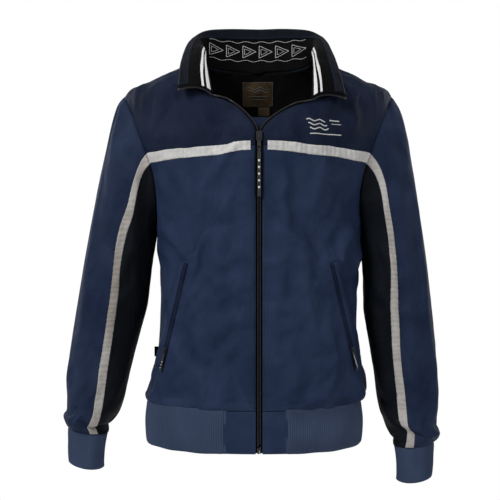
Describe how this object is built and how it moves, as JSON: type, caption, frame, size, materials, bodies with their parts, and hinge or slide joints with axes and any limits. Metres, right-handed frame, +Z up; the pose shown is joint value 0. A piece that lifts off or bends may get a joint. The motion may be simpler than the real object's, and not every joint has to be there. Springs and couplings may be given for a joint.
{
  "type": "foul weather jacket",
  "caption": "Zipped sailing blouson with an open stand collar, slanted zip pockets, light chest and sleeve tapes, and rib-knit waistband and cuffs.",
  "frame": {"origin": "middle of the hanging loop, inside the back of the neck", "axes": "+Z up, +X towards the wearer's left, -Y towards the front zip"},
  "size_m": [0.6883, 0.2792, 0.8443],
  "materials": {
    "shell": "navy woven nylon with a light coating, soft sheen",
    "rib_knit": "matte navy rib knit",
    "lining": "matte black woven lining",
    "pale_tape": "light grey ribbed tape, slight shine",
    "ribbon": "black woven ribbon",
    "label": "dull brown woven label",
    "zip_tape": "black woven zip tape",
    "black_plastic": "moulded black plastic",
    "black_metal": "black enamelled metal"
  },
  "bodies": {
    "jacket": {"R_front_lower": "shell", "R_front_upper": "shell", "R_front_lining": "lining", "R_chest_tape": "pale_tape", "L_front_lower": "shell", "L_front_upper": "shell", "L_front_lining": "lining", "L_chest_tape": "pale_tape", "back_panel": "shell", "back_yoke": "shell", "back_lining": "lining", "waist_rib": "rib_knit", "R_waist_tab": "shell", "R_pocket_welt": "shell", "R_pocket_teeth": "black_plastic", "R_pocket_bag": "lining", "R_collar_ribbon": "ribbon", "R_zip_teeth": "black_plastic", "R_zip_tape": "zip_tape", "R_top_stop": "black_metal", "L_waist_tab": "shell", "L_pocket_welt": "shell", "L_pocket_teeth": "black_plastic", "L_pocket_bag": "lining", "L_collar_ribbon": "ribbon", "L_zip_teeth": "black_plastic", "L_zip_tape": "zip_tape", "L_top_stop": "black_metal", "collar_outer": "shell", "collar_lining": "lining", "insertion_pin": "black_metal", "retainer_box": "black_metal", "storm_flap": "shell", "main_label": "label", "size_label": "label", "hanging_loop": "ribbon", "flag_label": "lining"},
    "R_sleeve": {"R_sleeve_over": "shell", "R_sleeve_under": "shell", "R_sleeve_tape": "pale_tape", "R_sleeve_lining": "lining", "R_cuff": "rib_knit"},
    "L_sleeve": {"L_sleeve_over": "shell", "L_sleeve_under": "shell", "L_sleeve_tape": "pale_tape", "L_sleeve_lining": "lining", "L_cuff": "rib_knit"},
    "zip_slide": {"slider_body": "black_metal"},
    "zip_tab": {"pull_tab": "black_metal"},
    "zip_pull": {"zip_puller": "black_plastic"},
    "R_pocket_slide": {"R_pocket_slider": "black_metal"},
    "R_pocket_tag": {"R_pocket_pull": "black_plastic"},
    "L_pocket_slide": {"L_pocket_slider": "black_metal"},
    "L_pocket_tag": {"L_pocket_pull": "black_plastic"}
  },
  "joints": [
    {"name": "zip_travel", "type": "slide", "parent": "jacket", "child": "zip_slide", "axis": [0, 0, -1], "range_m": [0, 0.504]},
    {"name": "zip_tab_swing", "type": "hinge", "parent": "zip_slide", "child": "zip_tab", "pos_m": [0, -0.2304, -0.1588], "axis": [-1, 0, 0], "range_deg": [-0.5, 110]},
    {"name": "zip_pull_swing", "type": "hinge", "parent": "zip_tab", "child": "zip_pull", "pos_m": [0, -0.2304, -0.1788], "axis": [-1, 0, 0], "range_deg": [-0.5, 60]},
    {"name": "R_pocket_travel", "type": "slide", "parent": "jacket", "child": "R_pocket_slide", "axis": [0.236, -0.1492, 0.9602], "range_m": [0, 0.13]},
    {"name": "R_pocket_swing", "type": "hinge", "parent": "R_pocket_slide", "child": "R_pocket_tag", "pos_m": [-0.16095, -0.18407, -0.51709], "axis": [-0.7701, 0.574, 0.2785], "range_deg": [-0.5, 110]},
    {"name": "L_pocket_travel", "type": "slide", "parent": "jacket", "child": "L_pocket_slide", "axis": [-0.2355, -0.1626, 0.9582], "range_m": [0, 0.13]},
    {"name": "L_pocket_swing", "type": "hinge", "parent": "L_pocket_slide", "child": "L_pocket_tag", "pos_m": [0.16136, -0.18218, -0.51717], "axis": [-0.7579, -0.5864, -0.2858], "range_deg": [-0.5, 110]},
    {"name": "R_sleeve_swing", "type": "hinge", "parent": "jacket", "child": "R_sleeve", "pos_m": [-0.238, -0.098, -0.06], "axis": [0, 1, 0], "range_deg": [0, 35]},
    {"name": "L_sleeve_swing", "type": "hinge", "parent": "jacket", "child": "L_sleeve", "pos_m": [0.238, -0.098, -0.06], "axis": [0, -1, 0], "range_deg": [0, 35]}
  ]
}
